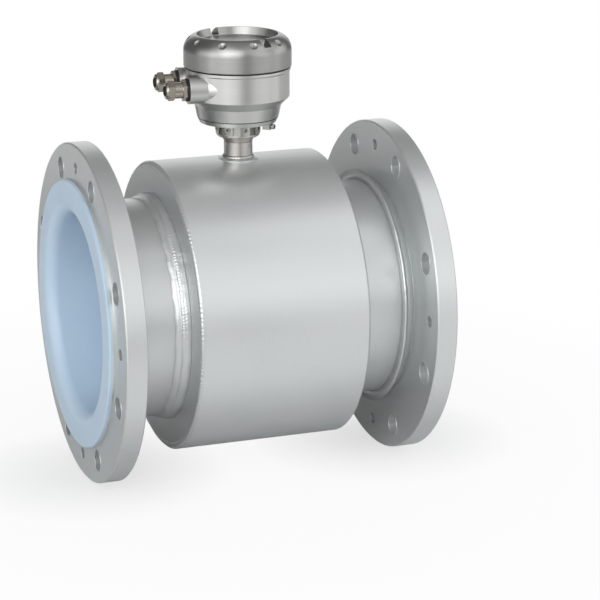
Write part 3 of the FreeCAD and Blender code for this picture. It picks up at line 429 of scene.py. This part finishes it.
METAL_EDGE_RADIUS = 0.0004
MARK_STRENGTH = 0.5
MARK_SHEEN = 0.02
AROUND = 0.25  # a quarter turn, which stretches highlights across the marks
MOULD_GRAIN_STRENGTH = 0.4
MOULD_GRAIN_DEPTH = 0.00003


def turned_metal(name, dark, light, roughness, axis, pitch, depth, spread=0.0):
    """A metal with lathe marks about an axis through the origin, which spread its highlights."""
    material, tree, shader, place = new_material(name)
    marks = rings(tree, place, axis, pitch)
    colour = add_node(tree, "ShaderNodeMix", {
        "Factor": marks, COLOUR_A: linear(dark), COLOUR_B: linear(light)}, data_type="RGBA")
    sheen = add_node(tree, "ShaderNodeMapRange", {
        "Value": marks, **NOISE_RANGE, "To Min": roughness - MARK_SHEEN, "To Max": roughness + MARK_SHEEN})
    edges = add_node(tree, "ShaderNodeBevel", {"Radius": METAL_EDGE_RADIUS}, samples=EDGE_SAMPLES)
    bump = add_node(tree, "ShaderNodeBump", {
        "Height": marks, "Strength": MARK_STRENGTH, "Distance": depth, "Normal": edges.outputs[0]})
    tree.links.new(colour.outputs[COLOUR_OUT], shader.inputs["Base Color"])
    tree.links.new(sheen.outputs["Result"], shader.inputs["Roughness"])
    tree.links.new(bump.outputs["Normal"], shader.inputs["Normal"])
    shader.inputs["Metallic"].default_value = 1.0
    if spread:
        around = add_node(tree, "ShaderNodeTangent", direction_type="RADIAL", axis=axis)
        tree.links.new(around.outputs[0], shader.inputs["Tangent"])
        shader.inputs["Anisotropic"].default_value = spread
        shader.inputs["Anisotropic Rotation"].default_value = AROUND
    return material


def plain_plastic(name, dark, light, roughness, grain):
    """A moulded plastic or rubber: a slight cloud in its colour and a fine mould grain."""
    material, tree, shader, place = new_material(name)
    texture = add_node(tree, "ShaderNodeTexNoise", {"Vector": place, "Scale": 1 / grain, "Detail": 3.0})
    colour = add_node(tree, "ShaderNodeMix", {
        "Factor": texture.outputs["Fac"], COLOUR_A: linear(dark), COLOUR_B: linear(light)}, data_type="RGBA")
    bump = add_node(tree, "ShaderNodeBump", {
        "Height": texture.outputs["Fac"], "Strength": MOULD_GRAIN_STRENGTH, "Distance": MOULD_GRAIN_DEPTH})
    tree.links.new(colour.outputs[COLOUR_OUT], shader.inputs["Base Color"])
    tree.links.new(bump.outputs["Normal"], shader.inputs["Normal"])
    shader.inputs["Roughness"].default_value = roughness
    return material


dress(turned_metal("polished_nickel_alloy", "#A9A7A1", "#BDBBB5", 0.18, "Y", 0.0006, 0.00001),
      "front_electrode", "rear_electrode")
dress(turned_metal("spring_stainless", "#8F8F8D", "#A8A8A6", 0.3, "Y", 0.0008, 0.00001),
      "front_electrode_spring", "rear_electrode_spring", "front_electrode_nut", "rear_electrode_nut")
dress(plain_plastic("turned_peek", "#B59C72", "#C6AE84", 0.45, 0.0012),
      "front_electrode_bush", "rear_electrode_bush")
dress(plain_plastic("white_lead_insulation", "#D8D6CE", "#E6E4DD", 0.4, 0.002),
      "front_electrode_lead", "rear_electrode_lead")
dress(plain_plastic("brown_lead_insulation", "#6A3B22", "#7C4A2C", 0.4, 0.002),
      "field_coil_lead", "coil_link_lead")

# ------------------------------------------------------------------- coil housing
# A rolled steel shell closed by two ring plates, in the same silver paint.
# One weld closes the shell's edge over the plate, and a broad one joins plate and tube.

# The shell bead's reach over the shell, its sink into it, its drop down the plate, its crown and
# the depth of its hidden root.
SHELL_BEAD_REACH = 0.0026
SHELL_BEAD_SINK = 0.0002
SHELL_BEAD_DROP = 0.0066
SHELL_BEAD_RISE = 0.0024
SHELL_BEAD_ROOT = 0.002
SHELL_BEAD = {"passes": 1, "pitch": 0.0046, "height": 0.0006, "wander": 0.0006}
# The height over the tube at which the plate bead bends, both crowns, and its thin toe's reach.
PLATE_BEAD_FLANK = 0.0024
PLATE_BEAD_RISES = (0.0008, 0.0004)
PLATE_BEAD_REACH = {"inlet": 0.0065, "outlet": 0.0008}
PLATE_BEAD = {"passes": 3, "pitch": 0.0032, "height": 0.0005, "wander": 0.0012}

dress(paint, "housing_shell", "inlet_end_plate", "outlet_end_plate", "neck_saddle")

shell_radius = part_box("housing_shell")[1].y
for end, side in (("inlet", -1), ("outlet", 1)):
    low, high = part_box(end + "_shell_weld")
    inner = high.x if side < 0 else low.x
    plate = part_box(end + "_end_plate")[0 if side < 0 else 1].x
    foot = shell_radius - SHELL_BEAD_DROP
    edge = crowned((inner - side * SHELL_BEAD_REACH, shell_radius - SHELL_BEAD_SINK), (plate, foot),
                   SHELL_BEAD_RISE, BEAD_STEPS)
    bead = weld_bead(end + "_shell_bead", "X", edge, (inner - side * SHELL_BEAD_ROOT, foot), from_face=False,
                     **SHELL_BEAD, material=weld_paint, slot="painted_weld")
    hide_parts(end + "_shell_weld")

    low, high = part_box(end + "_plate_weld")
    toe = low.x if side < 0 else high.x
    flank = (toe, tube_radius + PLATE_BEAD_FLANK)
    upper = crowned((plate, high.z), flank, PLATE_BEAD_RISES[0], BEAD_STEPS)
    lower = crowned(flank, (toe + side * PLATE_BEAD_REACH[end], tube_radius - ROOT_DEPTH), PLATE_BEAD_RISES[1],
                    BEAD_STEPS // 2)
    root = (plate - side * ROOT_DEPTH, tube_radius - ROOT_DEPTH)
    bead = weld_bead(end + "_plate_bead", "X", upper + lower[1:], root, from_face=True, **PLATE_BEAD,
                     material=weld_paint, slot="painted_weld")
    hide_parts(end + "_plate_weld")

# --------------------------------------------------------------------------- neck
# A stainless pipe and a turned spigot in one line, bare and ground round with a fine belt.
# A narrow bead of stainless wire, laid in short steps, holds the pipe to the saddle.

NECK_BEAD_SINK = 0.0002
NECK_BEAD_RISE = 0.0004
NECK_BEAD = {"passes": 1, "pitch": 0.0019, "height": 0.0003, "wander": 0.0004}

neck_steel = turned_metal("ground_stainless", "#BAB7B2", "#C9C6C1", 0.3, "Z", 0.0008, 0.00002, spread=0.35)
bead_steel = turned_metal("stainless_weld", "#B2B0AA", "#C6C4BE", 0.28, "Z", 0.0012, 0.00001)
dress(neck_steel, "neck_pipe", "neck_spigot")
low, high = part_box("neck_base_weld")
inside_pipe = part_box("neck_pipe")[1].x - NECK_BEAD_SINK
ridge = [Vector((point.y, point.x)) for point in crowned(
    (inside_pipe, high.z), (high.x, low.z), NECK_BEAD_RISE, BEAD_STEPS // 2)]
bead = weld_bead("neck_base_bead", "Z", ridge, (low.z - NECK_BEAD_SINK, inside_pipe), from_face=False,
                 **NECK_BEAD, material=bead_steel, slot="neck_stainless")
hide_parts("neck_base_weld")

# ----------------------------------------------------------------------- ring nut
# A slotted stainless nut with eight socket screws that lock it, and the ground terminal.
# Screws and lug are bought parts: bright, with crisp edges.

fitting_steel = turned_metal("bright_stainless", "#ABABA7", "#C4C4C0", 0.26, "Z", 0.0007, 0.00002)
screw_steel = turned_metal("rolled_screw_steel", "#9B9B97", "#B4B4B0", 0.3, "Z", 0.0006, 0.00002)
dress(fitting_steel, "ring_nut", "ground_lug", "box_lock_nut")
dress(screw_steel, "ring_nut_screws", "ground_screw")

# ----------------------------------------------------------------- connection box
# The base plate and box are turned from stainless bar, satin, with a fine lathe spiral.
# A rubber gasket lies between them with a thin line of sealant round it, and the lid's
# thread is cut on the box's collar.

THREAD_PITCH = 0.002
THREAD_TURNS = 6
THREAD_HEIGHT = 0.00026
THREAD_CREST = 0.35  # of the pitch
THREAD_WIDTH = 0.7  # of the pitch
THREAD_SINK = 0.5  # of the height
THREAD_STEPS = 96
COLLAR_RADIUS = 0.048
BOX_THREAD_START = 0.0004
SEALANT_RADIUS = 0.0007
SEALANT_SINK = 0.3  # of its radius
SEALANT_SIDES = 10
SEALANT_STEPS = 144

box_steel = turned_metal("satin_turned_stainless", "#C4C4C2", "#CBCBC9", 0.3, "Z", 0.0009, 0.000006, spread=0.5)
dress(box_steel, "box_base_plate", "connection_box")
black_gasket = plain_plastic("black_gasket_rubber", "#121314", "#1E2021", 0.8, 0.0009)
dress(black_gasket, "base_gasket")

low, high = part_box("base_gasket")
bm = bmesh.new()
add_ring(bm, (high.y - SEALANT_RADIUS * SEALANT_SINK, 0, (low.z + high.z) / 2), (0, 0, 0), (0, 0, 1),
         SEALANT_RADIUS, SEALANT_SIDES, SEALANT_STEPS)
smooth(bm, "base_sealant", "sensor", black_gasket)


def thread(name, body, radius, start, inward, material):
    """A screw thread's ridge: a small triangle wound up Z."""
    bm = bmesh.new()
    reach = -THREAD_HEIGHT if inward else THREAD_HEIGHT
    root = radius - reach * THREAD_SINK
    ridge = [bm.verts.new((root, 0, start)),
             bm.verts.new((radius + reach, 0, start + THREAD_PITCH * THREAD_CREST)),
             bm.verts.new((root, 0, start + THREAD_PITCH * THREAD_WIDTH))]
    edges = [bm.edges.new(pair) for pair in ((ridge[0], ridge[1]), (ridge[1], ridge[2]), (ridge[2], ridge[0]))]
    bm.faces.new(ridge)
    bmesh.ops.spin(bm, geom=ridge + edges, cent=(0, 0, 0), axis=(0, 0, 1), use_merge=False,
                   dvec=(0, 0, THREAD_PITCH / THREAD_STEPS), angle=2 * math.pi * THREAD_TURNS,
                   steps=THREAD_STEPS * THREAD_TURNS)
    bmesh.ops.holes_fill(bm, edges=bm.edges, sides=3)
    smooth(bm, name, body, material)


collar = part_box("lid_seal")[1].z
thread("box_thread", "sensor", COLLAR_RADIUS - THREAD_HEIGHT, collar + BOX_THREAD_START, False, box_steel)

# ---------------------------------------------------------------------- terminals
# A black moulded carrier with a grey seven-way terminal block and zinc-plated screws.

dress(plain_plastic("black_polyamide", "#1E2022", "#2A2C2F", 0.5, 0.0011), "terminal_carrier")
dress(plain_plastic("grey_polyamide", "#A7AAA6", "#B6B9B5", 0.46, 0.0011), "terminal_block")
dress(turned_metal("zinc_plate", "#A9ADB2", "#C3C7CB", 0.3, "Z", 0.0006, 0.00002), "terminal_screws")

# ------------------------------------------------------------------- cable glands
# Nickel-plated brass bodies and cap nuts, warm and fairly bright, on rubber washers.
# A black rubber insert grips the cable inside each cap nut.

NICKEL_CLOUD = 0.006
NICKEL_WAVE = 0.00005
NICKEL_WAVE_STRENGTH = 0.2
NICKEL_ROUGHNESS = 0.16


def nickel_plate():
    """A warm, nearly mirror-bright plating that follows slight waves in the brass."""
    material, tree, shader, place = new_material("nickel_plated_brass")
    cloud = add_node(tree, "ShaderNodeTexNoise", {"Vector": place, "Scale": 1 / NICKEL_CLOUD, "Detail": 3.0})
    colour = add_node(tree, "ShaderNodeMix", {
        "Factor": cloud.outputs["Fac"], COLOUR_A: linear("#A29B90"), COLOUR_B: linear("#BCB5AA")}, data_type="RGBA")
    edges = add_node(tree, "ShaderNodeBevel", {"Radius": METAL_EDGE_RADIUS}, samples=EDGE_SAMPLES)
    bump = add_node(tree, "ShaderNodeBump", {
        "Height": cloud.outputs["Fac"], "Strength": NICKEL_WAVE_STRENGTH, "Distance": NICKEL_WAVE,
        "Normal": edges.outputs[0]})
    tree.links.new(colour.outputs[COLOUR_OUT], shader.inputs["Base Color"])
    tree.links.new(bump.outputs["Normal"], shader.inputs["Normal"])
    shader.inputs["Metallic"].default_value = 1.0
    shader.inputs["Roughness"].default_value = NICKEL_ROUGHNESS
    return material


nickel = nickel_plate()
rubber = plain_plastic("black_rubber", "#0E0F11", "#1B1C1F", 0.55, 0.0012)
for side in ("front", "rear"):
    dress(nickel, side + "_gland_body", side + "_gland_cap")
    dress(rubber, side + "_gland_washer", side + "_gland_insert")

# ---------------------------------------------------------------------------- lid
# A heavy lid turned from stainless bar, with dimples for a pin spanner and a bar slot.
# It closes on a flat ring of black rubber, and carries its thread inside.

LID_BORE_RADIUS = 0.0483
LID_THREAD_START = 0.0012

# The lid is the same stainless as the box, but its colour is set darker than the box's: a painted shade.
dress(turned_metal("satin_turned_lid_painted_shade", "#A1A1A0", "#A9A9A8", 0.32, "Z", 0.0009, 0.000006, spread=0.5), "lid")
dress(rubber, "lid_seal")
thread("lid_thread", "lid", LID_BORE_RADIUS + THREAD_HEIGHT, collar + LID_THREAD_START, True, box_steel)

# ------------------------------------------------------------- floor, light, camera
# A white table in a studio that is dim behind, with soft boxes low in front and to the left.
# One dark card lies before them, so turned metal shows an upright band, and another behind.

FLOOR = cad_box[0].z
FLOOR_SIZE = 3.0
FLOOR_COLOUR = "#DCDCDC"
# How white the camera sees the floor, by the distance from the origin and from the feet, which are
# the places along X where the flanges stand. Near a foot the real shading shows through.
WHITENESS = {"From Min": 0.25, "To Min": 0.92, "From Max": 0.7, "To Max": 1.0}
FOOT = 0.158
FOOT_WHITENESS = {"From Min": 0.02, "To Min": 0.7, "From Max": 0.14, "To Max": 1.0}
# How bright mirrors see it, before and behind the sensor.
GLOW_AHEAD = {"From Min": -0.12, "To Min": 0.0, "From Max": -0.24, "To Max": 0.34}
GLOW_BEHIND = {"From Min": 0.15, "To Min": 0.0, "From Max": 0.5, "To Max": 0.12}
# Each card's place, the distances at which it is darkest and gone, and its share of that glow.
DARK_CARDS = ((-0.02, -1.36, 0.15, 0.6), (-0.2, 1.1, 0.12, 0.4))
CARD_COLOUR = "#303030"
CARD_GLOW = 0.15

# The soft boxes' azimuth, elevation and half angle in degrees, and their strength.
SURROUND = 0.18
SOFT_BOXES = (
    (-180, 3, 30, 1.05), (-150, 3, 30, 1.3), (-120, 3, 30, 1.1), (-60, 3, 30, 0.75), (-30, 3, 30, 0.65),
    (0, 3, 30, 0.75), (-150, 28, 30, 0.9), (-120, 28, 30, 2.1), (-90, 28, 30, 0.3), (-60, 28, 30, 0.6),
    (0, 28, 30, 0.55), (-150, 55, 25, 0.5), (-60, 52, 30, 0.3), (0, 89, 40, 0.25), (71, 8, 28, 0.95))
# The lamp's azimuth and elevation in degrees, and its distance.
TOP_LAMP = (-30, 52, 2.2)
TOP_LAMP_SIZE = 1.2
TOP_LAMP_POWER = 3.3
LAMP_AIM = (0, 0, 0.05)

CAMERA_PLACE = (-0.75442, -2.23571, 0.68182)
CAMERA_DOWN = 16.193
CAMERA_TURN = -20.147
CAMERA_LENS = 144.79
CAMERA_SENSOR = 36
WHITE = (1, 1, 1, 1)


def studio_floor():
    bm = bmesh.new()
    bmesh.ops.create_grid(bm, x_segments=1, y_segments=1, size=FLOOR_SIZE,
                          matrix=Matrix.Translation((0, 0, FLOOR)))
    mesh = bpy.data.meshes.new("floor")
    bm.to_mesh(mesh)
    bm.free()
    floor = bpy.data.objects.new("floor", mesh)
    bpy.context.scene.collection.objects.link(floor)
    material = bpy.data.materials.new("white_table")
    material.use_nodes = True
    tree = material.node_tree
    tree.nodes.clear()
    rays = add_node(tree, "ShaderNodeLightPath").outputs
    place = add_node(tree, "ShaderNodeTexCoord").outputs["Object"]
    parts = add_node(tree, "ShaderNodeSeparateXYZ", {"Vector": place}).outputs

    out = add_node(tree, "ShaderNodeVectorMath", {0: place}, operation="LENGTH")
    whiteness = add_node(tree, "ShaderNodeMapRange", {"Value": out.outputs["Value"], **WHITENESS})
    folded_x = add_node(tree, "ShaderNodeMath", {0: parts["X"]}, operation="ABSOLUTE")
    folded = add_node(tree, "ShaderNodeCombineXYZ", {0: folded_x.outputs[0], 1: parts["Y"], 2: FLOOR})
    to_foot = add_node(tree, "ShaderNodeVectorMath", {0: folded.outputs[0], 1: (FOOT, 0, FLOOR)},
                       operation="DISTANCE")
    at_foot = add_node(tree, "ShaderNodeMapRange", {"Value": to_foot.outputs["Value"], **FOOT_WHITENESS})
    both = add_node(tree, "ShaderNodeMath", {0: whiteness.outputs[0], 1: at_foot.outputs[0]}, operation="MULTIPLY")
    seen = add_node(tree, "ShaderNodeMath", {0: rays["Is Camera Ray"], 1: both.outputs[0]}, operation="MULTIPLY")

    open_floor = 1.0
    for x, y, darkest, gone in DARK_CARDS:
        to_card = add_node(tree, "ShaderNodeVectorMath", {0: place, 1: (x, y, FLOOR)}, operation="DISTANCE")
        beside = add_node(tree, "ShaderNodeMapRange", {
            "Value": to_card.outputs["Value"], "From Min": darkest, "To Min": CARD_GLOW, "From Max": gone,
            "To Max": 1.0})
        open_floor = add_node(tree, "ShaderNodeMath", {0: beside.outputs[0], 1: open_floor},
                              operation="MULTIPLY").outputs[0]
    ahead = add_node(tree, "ShaderNodeMapRange", {"Value": parts["Y"], **GLOW_AHEAD})
    behind = add_node(tree, "ShaderNodeMapRange", {"Value": parts["Y"], **GLOW_BEHIND})
    bright = add_node(tree, "ShaderNodeMath", {0: ahead.outputs[0], 1: behind.outputs[0]}, operation="ADD")
    bright = add_node(tree, "ShaderNodeMath", {0: bright.outputs[0], 1: open_floor}, operation="MULTIPLY")
    mirror = add_node(tree, "ShaderNodeMath", {0: rays["Is Glossy Ray"], 1: rays["Is Transmission Ray"]},
                      operation="ADD", use_clamp=True)
    glow = add_node(tree, "ShaderNodeMath", {0: mirror.outputs[0], 1: bright.outputs[0]}, operation="MULTIPLY")

    grey = add_node(tree, "ShaderNodeMix", {
        "Factor": open_floor, COLOUR_A: linear(CARD_COLOUR), COLOUR_B: linear(FLOOR_COLOUR)}, data_type="RGBA")
    matt = add_node(tree, "ShaderNodeBsdfDiffuse", {"Color": grey.outputs[COLOUR_OUT]})
    mirrored = add_node(tree, "ShaderNodeEmission", {"Color": WHITE, "Strength": glow.outputs[0]})
    lit = add_node(tree, "ShaderNodeAddShader", {0: matt.outputs[0], 1: mirrored.outputs[0]})
    white = add_node(tree, "ShaderNodeEmission", {"Color": WHITE, "Strength": 1.0})
    mixed = add_node(tree, "ShaderNodeMixShader", {0: seen.outputs[0], 1: lit.outputs[0], 2: white.outputs[0]})
    add_node(tree, "ShaderNodeOutputMaterial", {"Surface": mixed.outputs[0]})
    mesh.materials.append(material)


def towards(azimuth, elevation):
    """A direction from the sensor, from angles in degrees."""
    azimuth, elevation = math.radians(azimuth), math.radians(elevation)
    return Vector((math.cos(elevation) * math.cos(azimuth), math.cos(elevation) * math.sin(azimuth),
                   math.sin(elevation)))


def studio_world():
    world = bpy.data.worlds.new("studio")
    world.use_nodes = True
    bpy.context.scene.world = world
    tree = world.node_tree
    tree.nodes.clear()
    rays = add_node(tree, "ShaderNodeLightPath").outputs
    direction = add_node(tree, "ShaderNodeTexCoord").outputs["Generated"]
    level = SURROUND
    for azimuth, elevation, angle, strength in SOFT_BOXES:
        facing = add_node(tree, "ShaderNodeVectorMath", {0: direction, 1: towards(azimuth, elevation)},
                          operation="DOT_PRODUCT")
        box = add_node(tree, "ShaderNodeMapRange", {
            "Value": facing.outputs["Value"], "From Min": math.cos(math.radians(angle)), "From Max": 1.0,
            "To Min": 0.0, "To Max": strength}, interpolation_type="SMOOTHSTEP")
        level = add_node(tree, "ShaderNodeMath", {0: box.outputs["Result"], 1: level}, operation="ADD").outputs[0]
    around = add_node(tree, "ShaderNodeBackground", {"Color": WHITE, "Strength": level})
    white = add_node(tree, "ShaderNodeBackground", {"Color": WHITE, "Strength": 1.0})
    mixed = add_node(tree, "ShaderNodeMixShader", {
        0: rays["Is Camera Ray"], 1: around.outputs[0], 2: white.outputs[0]})
    add_node(tree, "ShaderNodeOutputWorld", {"Surface": mixed.outputs[0]})


def top_lamp():
    data = bpy.data.lights.new("top_lamp", "AREA")
    data.shape = "SQUARE"
    data.size = TOP_LAMP_SIZE
    data.energy = TOP_LAMP_POWER
    lamp = bpy.data.objects.new("top_lamp", data)
    azimuth, elevation, distance = TOP_LAMP
    lamp.location = towards(azimuth, elevation) * distance
    lamp.rotation_euler = (Vector(LAMP_AIM) - lamp.location).to_track_quat("-Z", "Y").to_euler()
    bpy.context.scene.collection.objects.link(lamp)


studio_floor()
studio_world()
top_lamp()

camera_data = bpy.data.cameras.new("camera")
camera_data.lens = CAMERA_LENS
camera_data.sensor_width = CAMERA_SENSOR
camera = bpy.data.objects.new("camera", camera_data)
camera.location = CAMERA_PLACE
camera.rotation_euler = (math.radians(90 - CAMERA_DOWN), 0, math.radians(CAMERA_TURN))
bpy.context.scene.collection.objects.link(camera)
bpy.context.scene.camera = camera
bpy.context.scene.view_settings.view_transform = "Standard"
